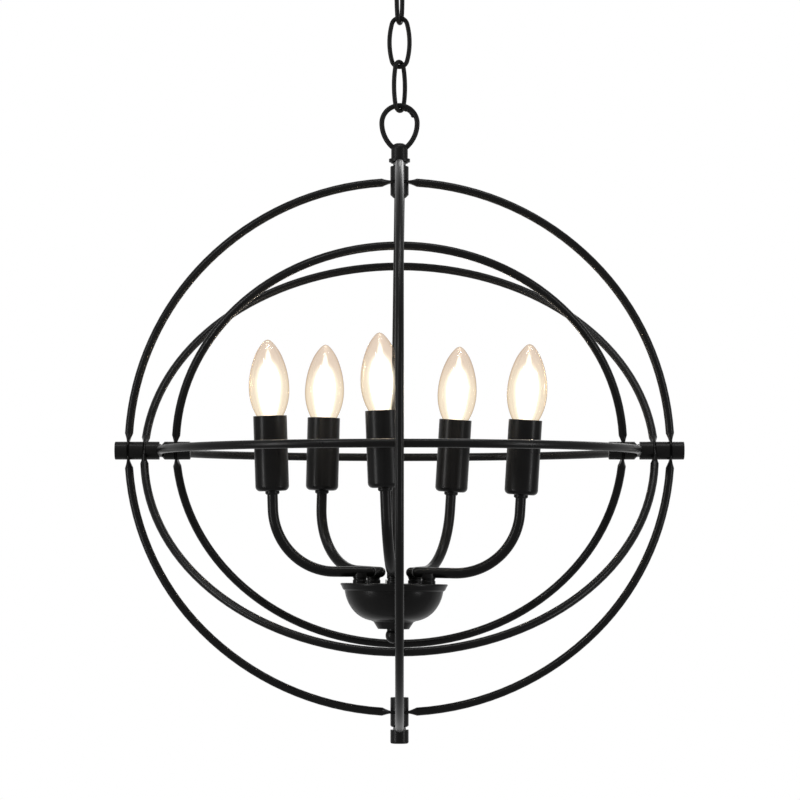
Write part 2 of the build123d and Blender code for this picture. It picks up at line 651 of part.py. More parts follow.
def arm_lead(number):
    """Twin lead inside an arm, from the lamp holder round the bend and down the post."""
    run = arm_run(LEAD_D / 2, LEAD_TURN_R, COLLET_H + COLLET_UP)
    corner = Rot(90, 0, 0) * bend((0, 0), LEAD_TURN_R, 90, 180, LEAD_D / 2)
    corner = Pos(LEAD_TURN_R, 0, -LEAD_TURN_R) * corner
    drop = disc(LEAD_D / 2, ARM_DEPTH - PLATE_DEPTH - LEAD_END, -LEAD_TURN_R)
    lead = arm_place(number) * run + arm_place(number, rolled=False) * (corner + drop)
    return at_studs(leaning(lead))


def lead_splice(number):
    """Closed crimp cap on the end of an arm's lead inside the bowl."""
    top = ARM_DEPTH - PLATE_DEPTH - LEAD_END + 3
    cap = disc(SPLICE_D / 2, top - SPLICE_LEN, top) - disc(LEAD_D / 2, top - 3.0, top + 1)
    return at_studs(leaning(arm_place(number, rolled=False) * cap))


def collet(number):
    """Small turned collar between arm and sleeve, with a hollow shank both ways."""
    shank = disc(COLLET_SHANK_D / 2, -COLLET_H - 7, COLLET_UP)
    collar = disc(COLLET_D / 2, -COLLET_H, 0)
    collar = chamfer(collar.edges().group_by(Axis.Z)[0], 1.0)
    body = shank + collar - disc(POST_BORE / 2, -COLLET_H - 8, COLLET_UP + 1)
    return at_studs(leaning(arm_place(number) * candle_place() * body))


# ---------------------------------------------------------------- candles

def candle(number, shape):
    """Put something made on a sleeve's axis on its arm."""
    return at_studs(leaning(arm_place(number) * candle_place() * shape))


def sleeve():
    """Deep drawn cup round the lamp holder, open at the top."""
    cup = disc(SLEEVE_D / 2, 0, SLEEVE_H)
    cup = fillet(cup.edges().group_by(Axis.Z)[0], SLEEVE_CORNER)
    cup = offset(cup, -SLEEVE_WALL, openings=cup.faces().sort_by(Axis.Z)[-1])
    return cup - disc((COLLET_SHANK_D + STUD_CLEAR) / 2, -1, SLEEVE_WALL * 2)


def holder():
    """Moulded lamp holder on the collet's shank, with a well for the lamp's cap."""
    foot_bore = (COLLET_SHANK_D + THREAD_FIT) / 2
    well = SHELL_D / 2
    points = [
        (foot_bore, SLEEVE_WALL),
        (HOLDER_FOOT_D / 2, SLEEVE_WALL),
        (HOLDER_FOOT_D / 2, HOLDER_STEP - 4),
        (HOLDER_D / 2, HOLDER_STEP),
        (HOLDER_D / 2, HOLDER_TOP - 1),
        (HOLDER_D / 2 - 1, HOLDER_TOP),
        (well + 0.02, HOLDER_TOP),
        (well + 0.02, SHELL_BASE - 2.5),
        (2.5, SHELL_BASE - 2.5),
        (2.5, COLLET_UP + 3),
        (foot_bore, COLLET_UP + 3),
    ]
    return turned(points)


def holder_shell():
    """Thin brass screw shell in the well, with the sprung centre contact under it."""
    r = SHELL_D / 2
    low = SHELL_BASE - 2.5
    shell = disc(r, low, HOLDER_TOP - 2) - disc(r - SHELL_WALL, low + SHELL_WALL, HOLDER_TOP)
    tongue = turned([(0, low), (2.6, low), (1.4, LAMP_CAP_BASE - 0.4), (0, LAMP_CAP_BASE - 0.4)])
    return shell + tongue


def lamp_cap():
    """Brass screw cap of a lamp with its contact stud."""
    r = LAMP_CAP_D / 2
    low = LAMP_CAP_BASE + 3
    cap = turned([(0, LAMP_CAP_BASE), (2.2, LAMP_CAP_BASE), (r, low), (r, LAMP_NECK), (0, LAMP_NECK)])
    return cap - disc(r - 0.6, low + 1, LAMP_NECK + 1)


def glass_side(inset):
    """One side of the candle glass from neck to tip, inset by the wall inside."""
    stops = [(r - inset, 0, z) for r, z in GLASS_STOPS]
    nose_r = GLASS_NOSE_R - inset
    nose = LAMP_TIP - GLASS_NOSE_R
    shoulder, brow = [(nose_r * sin(a), 0, nose + nose_r * cos(a)) for a in (radians(45), radians(22.5))]
    edges = [Line(stops[0], stops[1])]
    for i, (r, z) in enumerate(GLASS_MIDDLES):
        edges.append(ThreePointArc(stops[i + 1], (r - inset, 0, z), stops[i + 2]))
    under = (GLASS_SHOULDER[0] - inset * 0.75, 0, GLASS_SHOULDER[1] - inset * 0.6)
    edges.append(ThreePointArc(stops[-1], under, shoulder))
    edges.append(ThreePointArc(shoulder, brow, (0, 0, nose + nose_r)))
    return edges


def glass():
    """Clear candle-shaped glass, thin walled."""
    outer, inner = glass_side(0), glass_side(GLASS_WALL)
    edges = outer + inner + [Line(outer[0] @ 0, inner[0] @ 0), Line(outer[-1] @ 1, inner[-1] @ 1)]
    return revolve(make_face([e.edge() for e in edges]), Axis.Z)


def filament():
    """Glass stem in the neck with four straight filament rods leaning in towards the tip."""
    whole = turned([(0, 59.5), (4.6, 59.5), (2.0, 66), (2.0, 76), (5.8, 79), (5.8, 80), (0, 80)])
    lean = degrees(atan2(ROD_FOOT[0] - ROD_HEAD[0], ROD_HEAD[1] - ROD_FOOT[1]))
    length = hypot(ROD_FOOT[0] - ROD_HEAD[0], ROD_HEAD[1] - ROD_FOOT[1])
    rod = Pos(ROD_FOOT[0], 0, ROD_FOOT[1]) * Rot(0, -lean, 0) * disc(ROD_D / 2, 0, length)
    for turn in range(45, 360, 90):
        whole += Rot(0, 0, turn) * rod
    return whole


# ---------------------------------------------------------------- build and write

def together(solids):
    """Identical pieces in one file, each still its own solid."""
    return Compound(children=[Compound([s]) if isinstance(s, Solid) else s for s in solids])


def all_parts():
    """Every piece by its name."""
    right, left = side_hub(1), side_hub(-1)
    upper_outer, upper_inner = upper_spacers()
    lower_nut, lower_outer, lower_cap, lower_stud = lower_pivot()
    arms = range(ARM_COUNT)
    made = {
        "ceiling_bar": ceiling_bar(),
        "ceiling_nipple": ceiling_nipple(),
        "canopy": canopy(),
        "canopy_collar": canopy_collar(),
        "ceiling_loop": ceiling_loop(),
        "top_loop": top_loop(),
        "upper_nipple": upper_nipple(),
        "upper_outer_spacer": upper_outer,
        "upper_inner_spacer": upper_inner,
        "lower_inner_nut": lower_nut,
        "lower_spacer": lower_outer,
        "lower_cap": lower_cap,
        "lower_stud": lower_stud,
        "left_hub_spacers": together(left["spacers"]),
        "right_hub_spacers": together(right["spacers"]),
        "hub_inner_nuts": together(left["nut"] + right["nut"]),
        "hub_end_caps": together(left["cap"] + right["cap"]),
        "hub_studs": together(left["stud"] + right["stud"]),
        "face_ring": face_ring(),
        "side_ring": side_ring(),
        "wide_tilt_ring": tilting_ring(WIDE_R, WIDE_TILT),
        "level_ring": tilting_ring(LEVEL_R, LEVEL_TILT),
        "small_tilt_ring": tilting_ring(SMALL_R, SMALL_TILT),
        "column": column(),
        "column_nuts": together(column_nuts()),
        "bowl_plate": bowl_plate(),
        "bowl": bowl(),
        "bowl_finial": bowl_finial(),
        "arm_posts": together([arm_post(n) for n in arms]),
        "post_nuts": together([post_nut(n) for n in arms]),
        "arm_leads": together([arm_lead(n) for n in arms]),
        "lead_splices": together([lead_splice(n) for n in arms]),
        "arm_collets": together([collet(n) for n in arms]),
        "candle_sleeves": together([candle(n, sleeve()) for n in arms]),
        "lamp_holders": together([candle(n, holder()) for n in arms]),
        "holder_shells": together([candle(n, holder_shell()) for n in arms]),
    }
    for number in range(len(LINK_TURNS)):
        made[f"chain_link_{number + 1}"] = chain_link(number)
    for number in arms:
        made[f"arm_{number + 1}"] = arm(number)
        made[f"lamp_{number + 1}_cap"] = candle(number, lamp_cap())
        made[f"lamp_{number + 1}_glass"] = candle(number, glass())
        made[f"lamp_{number + 1}_filament"] = candle(number, filament())
    return made


os.makedirs("parts", exist_ok=True)
for name, shape in all_parts().items():
    export_step(shape, f"parts/{name}.step")
print("side studs at Z", round(STUD_HEIGHT, 2))
print("tilting rings", round(WIDE_R, 2), round(LEVEL_R, 2), round(SMALL_R, 2))
print("least angle of a tilting ring from upright",
      round(degrees(asin((PIVOT_D / 2 + RING_R + 0.5) / SMALL_R)), 1))
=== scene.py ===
# %% [markdown]
# # Orb chandelier
# Steel rings nest inside each other round five candle lamps, and the whole orb hangs on
# three chain links. The CAD model already holds every rigid piece in its true place.
# This file dresses it: paint, zinc, brass and glass for the CAD pieces, finer lamps built
# from formulas, the weld on the hanging loop, and a plain studio round it all.

# %% The frame
import json
import bmesh
import bpy
import numpy as np
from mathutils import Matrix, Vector


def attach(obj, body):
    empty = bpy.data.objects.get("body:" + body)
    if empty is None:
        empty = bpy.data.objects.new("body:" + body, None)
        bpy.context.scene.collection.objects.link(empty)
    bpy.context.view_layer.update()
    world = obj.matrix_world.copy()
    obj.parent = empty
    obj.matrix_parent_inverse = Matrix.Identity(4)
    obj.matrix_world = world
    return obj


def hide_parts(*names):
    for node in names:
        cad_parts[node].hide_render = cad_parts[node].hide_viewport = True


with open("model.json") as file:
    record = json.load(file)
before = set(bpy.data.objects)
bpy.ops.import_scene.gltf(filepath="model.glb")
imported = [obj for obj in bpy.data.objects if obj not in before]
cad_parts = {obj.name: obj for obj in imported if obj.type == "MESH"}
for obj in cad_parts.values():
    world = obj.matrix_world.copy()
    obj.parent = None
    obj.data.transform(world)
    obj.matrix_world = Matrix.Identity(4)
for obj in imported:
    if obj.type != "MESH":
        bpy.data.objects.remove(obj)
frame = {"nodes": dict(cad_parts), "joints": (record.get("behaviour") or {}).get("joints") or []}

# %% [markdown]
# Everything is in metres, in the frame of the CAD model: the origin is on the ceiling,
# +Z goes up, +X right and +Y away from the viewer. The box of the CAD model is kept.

MM = 0.001
LAMPS = range(1, 6)
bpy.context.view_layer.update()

# %% [markdown]
# ## Writing shader maths as Python
# A material is a small network of nodes. Adding nodes one by one hides the idea, so two
# small classes do it: `Recipe` starts a material and adds a node from its type, settings
# and sockets, and `Value` wraps a socket so that `1 - mask * 0.3` adds the Math nodes.

# %% Value and Recipe
class Value:
    """A number that varies over a surface; Python's operators add Math nodes."""

    def __init__(self, recipe, socket):
        self.recipe = recipe
        self.socket = socket

    def maths(self, operation, first, second):
        """One Math node on two numbers or values."""
        return self.recipe.node("ShaderNodeMath", {"operation": operation}, {0: first, 1: second})

    def __add__(self, other):
        return self.maths("ADD", self, other)

    def __sub__(self, other):
        return self.maths("SUBTRACT", self, other)

    def __rsub__(self, other):
        return self.maths("SUBTRACT", other, self)

    def __mul__(self, other):
        return self.maths("MULTIPLY", self, other)

    def __pow__(self, other):
        return self.maths("POWER", self, other)

    __radd__ = __add__
    __rmul__ = __mul__


class Recipe:
    """One material, with its output node ready."""

    def __init__(self, name):
        self.material = bpy.data.materials.new(name)
        self.material.use_nodes = True
        self.tree = self.material.node_tree
        self.tree.nodes.clear()
        self.output = self.tree.nodes.new("ShaderNodeOutputMaterial")

    def node(self, kind, settings=None, sockets=None, out=0):
        """Adds a node: its settings first, then the values or links of its sockets."""
        node = self.tree.nodes.new(kind)
        for name, value in (settings or {}).items():
            setattr(node, name, value)
        shown = [socket for socket in node.inputs if socket.enabled]
        by_name = {socket.name: socket for socket in reversed(shown)}
        for name, value in (sockets or {}).items():
            socket = node.inputs[name] if isinstance(name, int) else by_name[name]
            if isinstance(value, Value):
                self.tree.links.new(value.socket, socket)
            else:
                socket.default_value = value
        outputs = [socket for socket in node.outputs if socket.enabled]
        return Value(self, outputs[out])

    def place(self):
        """The point on the object, in metres from the ceiling's middle."""
        return self.node("ShaderNodeTexCoord", out=3)

    def scaled(self, scale):
        """The point on the object with its three axes scaled."""
        return self.node("ShaderNodeMapping", sockets={"Vector": self.place(), "Scale": scale})

    def noise(self, scale, detail=2.0, crowd=(1, 1, 1)):
        """Noise from 0 to 1, about `scale` lumps a metre, crowded closer along an axis."""
        sockets = {"Vector": self.scaled(crowd), "Scale": scale, "Detail": detail}
        return self.node("ShaderNodeTexNoise", sockets=sockets)

    def mix(self, factor, low, high):
        """A colour between low and high, each a colour or the output of a node."""
        low, high = (end if isinstance(end, Value) else (*end, 1) for end in (low, high))
        return self.node("ShaderNodeMix", {"data_type": "RGBA"}, {"Factor": factor, "A": low, "B": high})

    def bump(self, height, strength, distance):
        """A normal from a height map, whose full range is `distance` metres deep."""
        sockets = {"Height": height, "Strength": strength, "Distance": distance}
        return self.node("ShaderNodeBump", sockets=sockets)

    def blend(self, share, first, second):
        """Ends the material with two shaders; share 0 shows the first, share 1 the second."""
        return self.finish(self.node("ShaderNodeMixShader", sockets={0: share, 1: first, 2: second}))

    def principled(self, sockets):
        """Ends the material with one Principled shader."""
        return self.finish(self.node("ShaderNodeBsdfPrincipled", sockets=sockets))

    def finish(self, shader):
        """Ends the material with a shader and returns the material."""
        self.tree.links.new(shader.socket, self.output.inputs["Surface"])
        return self.material


# %% [markdown]
# ## Satin black paint
# Rings, arms, chain and bowl share one satin black powder coat. It is never a flat black:
# the powder melts into a faint orange peel, and its colour and sheen drift a little from
# place to place. Each kind of piece gets the same recipe with its own grain, because
# drawn tube is smoother than cast metal.

# %% Black paint
PAINT_THIN = (0.0014, 0.0014, 0.0015)
PAINT_THICK = (0.0034, 0.0033, 0.0032)
PAINT_GLOSS = 0.07  # the shader's specular level
CLOUDS_A_METRE = 45.0
ROUGHNESS_DRIFT = 0.12
PEEL_STRENGTH = 0.35


def black_paint(name, roughness, peel_size, peel_depth):
    """Powder coat: slow noise moves its colour and sheen, fine noise is its orange peel."""
    recipe = Recipe(name)
    cloud = recipe.noise(CLOUDS_A_METRE, 3.0)
    peel = recipe.noise(1 / peel_size)
    return recipe.principled({
        "Base Color": recipe.mix(cloud, PAINT_THIN, PAINT_THICK),
        "Roughness": roughness - ROUGHNESS_DRIFT / 2 + cloud * ROUGHNESS_DRIFT,
        "Specular IOR Level": PAINT_GLOSS,
        "Normal": recipe.bump(peel, PEEL_STRENGTH, peel_depth),
    })


# roughness, then the size and the depth of the peel
tube_paint = black_paint("painted_tube", 0.30, 2.6 * MM, 0.008 * MM)
spun_paint = black_paint("painted_spun_steel", 0.30, 1.4 * MM, 0.02 * MM)
turned_paint = black_paint("painted_turned_steel", 0.34, 1.2 * MM, 0.02 * MM)
cast_paint = black_paint("painted_cast_metal", 0.42, 3.2 * MM, 0.12 * MM)
print("four black paints")

# %% [markdown]
# ## Zinc, brass and plastic
# The pieces that hold the lamp together are plated or moulded and mostly out of sight.
# Zinc plate has a dull crystalline mottle, pressed brass has fine rolling lines, and
# moulded plastic has an even matt grain.

# %% Metals and plastics
ZINC_DARK, ZINC_LIGHT = (0.40, 0.41, 0.40), (0.66, 0.66, 0.63)
BRASS_DARK, BRASS_LIGHT = (0.72, 0.50, 0.20), (0.86, 0.68, 0.36)
GRAINS_A_METRE = 1500.0


def zinc_plate():
    """Zinc: noise mottles its grey and its roughness, and a cell pattern raises its crystals."""
    recipe = Recipe("zinc_plated_steel")
    crystals = recipe.node("ShaderNodeTexVoronoi", sockets={"Vector": recipe.place(), "Scale": 700.0})
    mottle = recipe.noise(260.0, 4.0)
    return recipe.principled({
        "Base Color": recipe.mix(mottle, ZINC_DARK, ZINC_LIGHT),
        "Metallic": 1.0,
        "Roughness": 0.28 + mottle * 0.25,
        "Normal": recipe.bump(crystals, 0.12, 0.02 * MM),
    })


def pressed_brass():
    """Brass: noise drawn out round the cap gives its rolling lines, slow noise its tarnish."""
    recipe = Recipe("pressed_brass")
    lines = recipe.noise(220.0, 3.0, crowd=(1, 1, 14))
    tarnish = recipe.noise(90.0, 3.0)
    return recipe.principled({
        "Base Color": recipe.mix(tarnish, BRASS_DARK, BRASS_LIGHT),
        "Metallic": 1.0,
        "Roughness": 0.20 + tarnish * 0.22,
        "Normal": recipe.bump(lines, 0.15, 0.02 * MM),
    })


def moulded_plastic(name, low, high, roughness):
    """Plastic: an even fine grain, its hollows painted a little darker as shade."""
    recipe = Recipe(name)
    grain = recipe.noise(GRAINS_A_METRE)
    return recipe.principled({
        # the same noise lowers the bump and darkens the colour, so the grain's hollows carry painted shade
        "Base Color": recipe.mix(grain, low, high),
        "Roughness": roughness + grain * 0.15,
        "Normal": recipe.bump(grain, 0.25, 0.03 * MM),
    })


zinc = zinc_plate()
brass = pressed_brass()
holder_plastic = moulded_plastic("moulded_holder", (0.020, 0.019, 0.018), (0.034, 0.032, 0.030), 0.45)
lead_plastic = moulded_plastic("lead_covering", (0.030, 0.030, 0.032), (0.050, 0.050, 0.052), 0.40)
splice_plastic = moulded_plastic("splice_cap", (0.62, 0.58, 0.50), (0.74, 0.70, 0.62), 0.40)
print("zinc, brass and three plastics")

# %% [markdown]
# ## Dressing the CAD pieces
# A CAD piece keeps its shape and only changes its material. The lists say which finish
# the real piece has: tube is drawn, the bowl, canopy and sleeves are spun or pressed,
# spacers and caps are turned on a lathe, loops and links are cast or bent from rod.

# %% Finishes
FINISHES = [
    (tube_paint, ["face_ring", "side_ring", "wide_tilt_ring", "level_ring", "small_tilt_ring", "column"]
     + [f"arm_{number}" for number in LAMPS]),
    (spun_paint, ["bowl", "bowl_plate", "canopy", "candle_sleeves"]),
    (turned_paint, ["upper_outer_spacer", "upper_inner_spacer", "lower_inner_nut", "lower_spacer",
                    "lower_cap", "left_hub_spacers", "right_hub_spacers", "hub_inner_nuts",
                    "hub_end_caps", "bowl_finial", "arm_posts", "arm_collets", "canopy_collar"]),
    (cast_paint, ["top_loop", "ceiling_loop"] + [f"chain_link_{number}" for number in (1, 2, 3)]),
    (zinc, ["ceiling_bar", "ceiling_nipple", "upper_nipple", "lower_stud", "hub_studs", "column_nuts",
            "post_nuts"]),
    (brass, ["holder_shells"] + [f"lamp_{number}_cap" for number in LAMPS]),
    (holder_plastic, ["lamp_holders"]),
    (lead_plastic, ["arm_leads"]),
    (splice_plastic, ["lead_splices"]),
]
for finish, nodes in FINISHES:
    for node in nodes:
        materials = frame["nodes"][node].data.materials
        materials.clear()
        materials.append(finish)
print("dressed", sum(len(nodes) for _, nodes in FINISHES), "CAD pieces")

# %% [markdown]
# ## Surfaces from formulas
# A turned piece is its half outline carried round an axis. The outline is an array of
# radii and heights, the turn is an array of angles, and their product is a grid of points
# that becomes quads. A smooth outline needs only a few points if a Catmull-Rom curve, a
# cubic that passes through every point, joins them.

# %% Grids, outlines and turned shells
MERGE_DISTANCE = 0.001 * MM
SHARP_EDGE = np.radians(40)


def smooth_outline(points, steps):
    """Catmull-Rom curve through points: each span is a cubic of its four nearest points."""
    p = np.array(points, float)
    p = np.vstack([2 * p[0] - p[1], p, 2 * p[-1] - p[-2]])
    t = np.linspace(0, 1, steps, endpoint=False)[:, None, None]
    a, b, c, d = p[:-3], p[1:-2], p[2:-1], p[3:]
    curve = 2 * b + (c - a) * t + (2 * a - 5 * b + 4 * c - d) * t**2 + (3 * b - a - 3 * c + d) * t**3
    curve = (0.5 * curve).transpose(1, 0, 2).reshape(-1, p.shape[1])
    return np.vstack([curve, p[-2:-1]])


def grid_mesh(name, points):
    """Quads between neighbours of an array shaped (rows, columns, 3); seams and poles merged."""
    rows, columns, _ = points.shape
    number = np.arange(rows * columns).reshape(rows, columns)
    quads = np.stack([number[:-1, :-1], number[:-1, 1:], number[1:, 1:], number[1:, :-1]], axis=-1)
    mesh = bpy.data.meshes.new(name)
    mesh.from_pydata(points.reshape(-1, 3).tolist(), [], quads.reshape(-1, 4).tolist())
    tidy = bmesh.new()
    tidy.from_mesh(mesh)
    bmesh.ops.remove_doubles(tidy, verts=tidy.verts, dist=MERGE_DISTANCE)
    bmesh.ops.recalc_face_normals(tidy, faces=tidy.faces)
    tidy.to_mesh(mesh)
    tidy.free()
    mesh.shade_smooth()
    mesh.set_sharp_from_angle(angle=SHARP_EDGE)
    return mesh


def full_turn(columns):
    """Angles once round, as one row, so that a column of heights makes a grid with it."""
    return np.linspace(0, 2 * np.pi, columns + 1)[None, :]


def round_the_axis(radius, height, angle):
    """Points x = r cos(a), y = r sin(a), z = height, for a radius that may change anywhere."""
    return np.stack([radius * np.cos(angle), radius * np.sin(angle), height + 0 * angle], axis=-1)


def turned(outline, columns):
    """An outline of (radius, height) rows carried once round the Z axis."""
    return round_the_axis(outline[:, :1], outline[:, 1:2], full_turn(columns))


def half_circle(steps):
    """The outline of a ball of radius 1, from its lower pole to its upper one."""
    turn = np.linspace(-np.pi / 2, np.pi / 2, steps)
    outline = np.stack([np.cos(turn), np.sin(turn)], axis=1)
    outline[[0, -1], 0] = 0
    return outline


def three_directions(up, towards):
    """Unit vectors across, along and up, with across square to the plane of up and towards."""
    across = np.cross(up, towards)
    across /= np.linalg.norm(across)
    return np.array([across, np.cross(up, across), up])


def new_piece(name, mesh, material, body):
    """Shows a mesh, gives it its finish and lets it ride on its CAD body."""
    piece = bpy.data.objects.new(name, mesh)
    bpy.context.collection.objects.link(piece)
    mesh.materials.append(material)
    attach(piece, body)
    return piece


# %% [markdown]
# ## Where each lamp stands
# The five arms were set by hand, so each lamp leans a little its own way. The joint that
# lets a lamp unscrew already holds its axis, so a lamp is built upright at the origin and
# then carried onto that axis.

# %% Lamp places
JOINT_HEIGHT = 60 * MM  # of the unscrewing joint above the lamp's foot


def joint_named(name):
    """The CAD model's joint with that name: its place, in metres, and its axis."""
    return next(joint for joint in frame["joints"] if joint["name"] == name)


def lamp_place(number):
    """A lamp's foot, under its sleeve, and three directions: two across its axis and one up it."""
    joint = joint_named(f"lamp_{number}_unscrew")
    up = np.array(joint["axis"]) / np.linalg.norm(joint["axis"])
    across = np.array((1.0, 0.0, 0.0)) - up * up[0]
    across /= np.linalg.norm(across)
    foot = np.array(joint["pos_m"]) - up * JOINT_HEIGHT
    return foot, np.array([across, np.cross(up, across), up])


def at_lamp(number, points):
    """Carries points made on the origin's Z axis onto a lamp's axis."""
    foot, directions = lamp_place(number)
    return points @ directions + foot


LAMP_FOOT = np.mean([lamp_place(number)[0][2] for number in LAMPS])
for number in LAMPS:
    print("lamp", number, "stands at", (lamp_place(number)[0] / MM).round(1))

# %% [markdown]
# ## Candle glass
# The envelope is blown clear glass, 36 mm wide and under a millimetre thick. Its outline is
# a row of arcs, as a glass mould is cut: one swells from the neck to the widest place, a
# flatter one draws in again, and a round nose closes it. A single skin with a shader for
# thin glass is enough, because a wall this thin hardly bends the light.

# %% Clear glass
# arcs of the outline, each with its middle (radius, height), its own radius and its end heights, in mm
GLASS_ARCS = [((-32.0, 91.0), 50.0, 61.0, 91.0), ((-56.74, 91.0), 74.74, 91.0, 124.0)]
GLASS_NECK = [(0.0, 59.4), (5.9, 59.4)]
GLASS_NOSE_POINTS = [(10.28, 124.0), (8.6, 126.8), (6.7, 129.5), (4.75, 131.9), (2.5, 134.0), (0.0, 134.9)]


def arc_outline(middle, radius, low, high, steps=20):
    """Rows of an upright arc: at height z its radius is the middle's plus sqrt(R^2 - dz^2)."""
    z = np.linspace(low, high, steps)
    return np.stack([middle[0] + np.sqrt(radius**2 - (z - middle[1])**2), z], axis=1)


def glass_outline():
    """Neck, two arcs, and a nose that a smooth curve rounds over to the axis."""
    body = [arc_outline(*arc)[:-1] for arc in GLASS_ARCS]
    nose = smooth_outline(GLASS_NOSE_POINTS, 5)
    nose[-1, 0] = 0.0
    return np.vstack([GLASS_NECK, *body, nose]) * MM


# colour let through by each pass through the wall, painted: in the body a warm tint stands in for the
# lamp's glow, at the rim a brown tint is a painted dark reflection, and the nose is tinted greyer
GLASS_BODY_GLOW = (0.974, 0.903, 0.792)
GLASS_RIM_SHADE = (0.46, 0.33, 0.21)
GLASS_NOSE = (0.885, 0.80, 0.72)
NOSE_TINT_HEIGHTS = {"From Min": 98.0, "From Max": 122.0}  # mm above the lamp's foot
RIM_THINNESS = 4.0  # the power that narrows the rim's tint
GLASS_IOR = 1.45
GLASS_MIRROR = 0.012
GLASS_RIM_MIRROR = 0.08


def clear_glass():
    """Thin glass with a painted warm glow and a painted dark rim: lets light through straight, and mirrors
    more towards its rim.
    """
    recipe = Recipe("clear_glass")
    rim = recipe.node("ShaderNodeLayerWeight", sockets={"Blend": 0.5}, out=1) ** RIM_THINNESS
    height = recipe.node("ShaderNodeSeparateXYZ", sockets={0: recipe.place()}, out=2)
    lamp_height = height * (1 / MM) - LAMP_FOOT / MM
    to_nose = recipe.node("ShaderNodeMapRange", sockets={"Value": lamp_height, **NOSE_TINT_HEIGHTS})
    streaks = recipe.noise(130.0, crowd=(1, 1, 0.15))
    # painted warm glow in the body, streaked, turning greyer towards the nose
    body = recipe.mix(to_nose * (0.75 + streaks * 0.5), GLASS_BODY_GLOW, GLASS_NOSE)
    # the brown towards the rim is a painted dark reflection along the glass's edge
    glow_and_rim_shade = recipe.mix(rim, body, GLASS_RIM_SHADE)
    through = recipe.node("ShaderNodeBsdfTransparent", sockets={"Color": glow_and_rim_shade})
    gloss = recipe.node("ShaderNodeBsdfGlossy", sockets={"Color": (1, 1, 1, 1), "Roughness": 0.05})
    mirror = recipe.node("ShaderNodeFresnel", sockets={"IOR": GLASS_IOR})
    return recipe.blend(GLASS_MIRROR + mirror * GLASS_RIM_MIRROR, through, gloss)


glass = clear_glass()
for number in LAMPS:
    mesh = grid_mesh(f"lamp_{number}_envelope", at_lamp(number, turned(glass_outline(), 96)))
    piece = new_piece(mesh.name, mesh, glass, f"lamp_{number}")
    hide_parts(f"lamp_{number}_glass")
    piece.visible_shadow = False
print("glass envelopes", len(mesh.polygons), "faces each")

# %% [markdown]
# ## Filaments
# Inside stands a glass stem that carries four straight filaments, which lean together at
# the top. Each is a thin rod. Lit, they are far brighter than anything round them.

# %% Stem, wires and glowing rods
STEM_OUTLINE = [(0.0, 59.2), (5.0, 59.2), (4.4, 62.0), (2.2, 68.0), (1.7, 76.0), (1.6, 80.0), (0.0, 81.0)]
# radius and height, in mm: the rods' ends, where a wire leaves the stem and where the wires meet
ROD_FOOT, ROD_TOP = (4.2, 79.0), (1.8, 112.0)
WIRE_FOOT, WIRE_TOP = (1.2, 78.0), (0.0, 114.0)
ROD_RADIUS, WIRE_RADIUS = 0.9 * MM, 0.3 * MM
ROD_BEARINGS = np.radians((45, 135, 225, 315))


def rod(start, end, radius, columns):
    """A capsule from start to end: half a circle, whose upper half is pushed up by the length."""
    length = np.linalg.norm(end - start)
    outline = half_circle(9) * radius
    outline[outline[:, 1] > 0, 1] += length
    return turned(outline, columns) @ three_directions((end - start) / length, (0.3, 1.0, 0.2)) + start


def rods_and_wires(bearing):
    """One filament on its bearing round the lamp, with the wires at its foot and its top."""
    def point(radius, height):
        return np.array((np.cos(bearing) * radius, np.sin(bearing) * radius, height)) * MM

    foot, top = point(*ROD_FOOT), point(*ROD_TOP)
    return [rod(foot, top, ROD_RADIUS, 16), rod(point(*WIRE_FOOT), foot, WIRE_RADIUS, 8),
            rod(top, point(*WIRE_TOP), WIRE_RADIUS, 8)]


def glowing(name, colour, strength):
    """A surface that gives off light, a little brighter and darker from place to place."""
    recipe = Recipe(name)
    ripple = recipe.noise(600.0, 1.0)
    brighter = tuple(min(1.0, channel * 1.08) for channel in colour)
    return recipe.principled({
        "Base Color": (*colour, 1),
        "Roughness": 0.5,
        "Emission Color": recipe.mix(ripple, colour, brighter),
        "Emission Strength": strength,
    })


filament_light = glowing("filament_light", (1.0, 0.90, 0.72), 3.0)
for number in LAMPS:
    # the glass stem and the wires get the filaments' glowing surface too, so they glow as painted light
    parts = [turned(smooth_outline(STEM_OUTLINE, 4) * MM, 24)]
    for bearing in ROD_BEARINGS:
        parts += rods_and_wires(bearing)
    whole = bmesh.new()
    for points in parts:
        part = grid_mesh("filament_part", at_lamp(number, points))
        whole.from_mesh(part)
        bpy.data.meshes.remove(part)
    mesh = bpy.data.meshes.new(f"lamp_{number}_filaments")
    whole.to_mesh(mesh)
    whole.free()
    piece = new_piece(mesh.name, mesh, filament_light, f"lamp_{number}")
    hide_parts(f"lamp_{number}_filament")
print("filaments", len(mesh.polygons), "faces each")

# %% [markdown]
# ## The glare of a lit lamp
# To the eye and to a camera the filaments run together into one white spindle that fades
# towards the glass. Three clear shells, one inside another, each give off a little of
# that light. Looked at from any side, more of them overlap in the middle, so the glare is
# whitest there and soft at its edge.

# %% Glare shells
GLARE_OUTLINE = [(0.0, 60.5), (5.6, 61.0), (7.0, 66.0), (10.2, 76.0), (12.4, 90.0), (12.2, 101.0),
                 (8.6, 112.0), (3.4, 119.0), (2.0, 125.0), (0.0, 130.0)]
# size of each shell, and the share that it covers
GLARE_SHELLS = [(1.0, 0.08), (0.91, 0.14), (0.82, 0.85)]
GLARE_MIDDLE = np.array((0, 90)) * MM
GLARE_COLOUR, GLARE_STRENGTH = (1.0, 0.95, 0.84, 1), 1.75


def glare(share, name):
    """A clear shell that covers a share of what is behind it with warm white light."""
    recipe = Recipe(name)
    through = recipe.node("ShaderNodeBsdfTransparent")
    sockets = {"Color": GLARE_COLOUR, "Strength": GLARE_STRENGTH}
    light = recipe.node("ShaderNodeEmission", sockets=sockets)
    return recipe.blend(share, through, light)


def glare_outline(size):
    """The outline drawn in to its size across the axis, and half as much along it."""
    outline = smooth_outline(GLARE_OUTLINE, 6) * MM
    return (outline - GLARE_MIDDLE) * (size, 0.5 + size / 2) + GLARE_MIDDLE


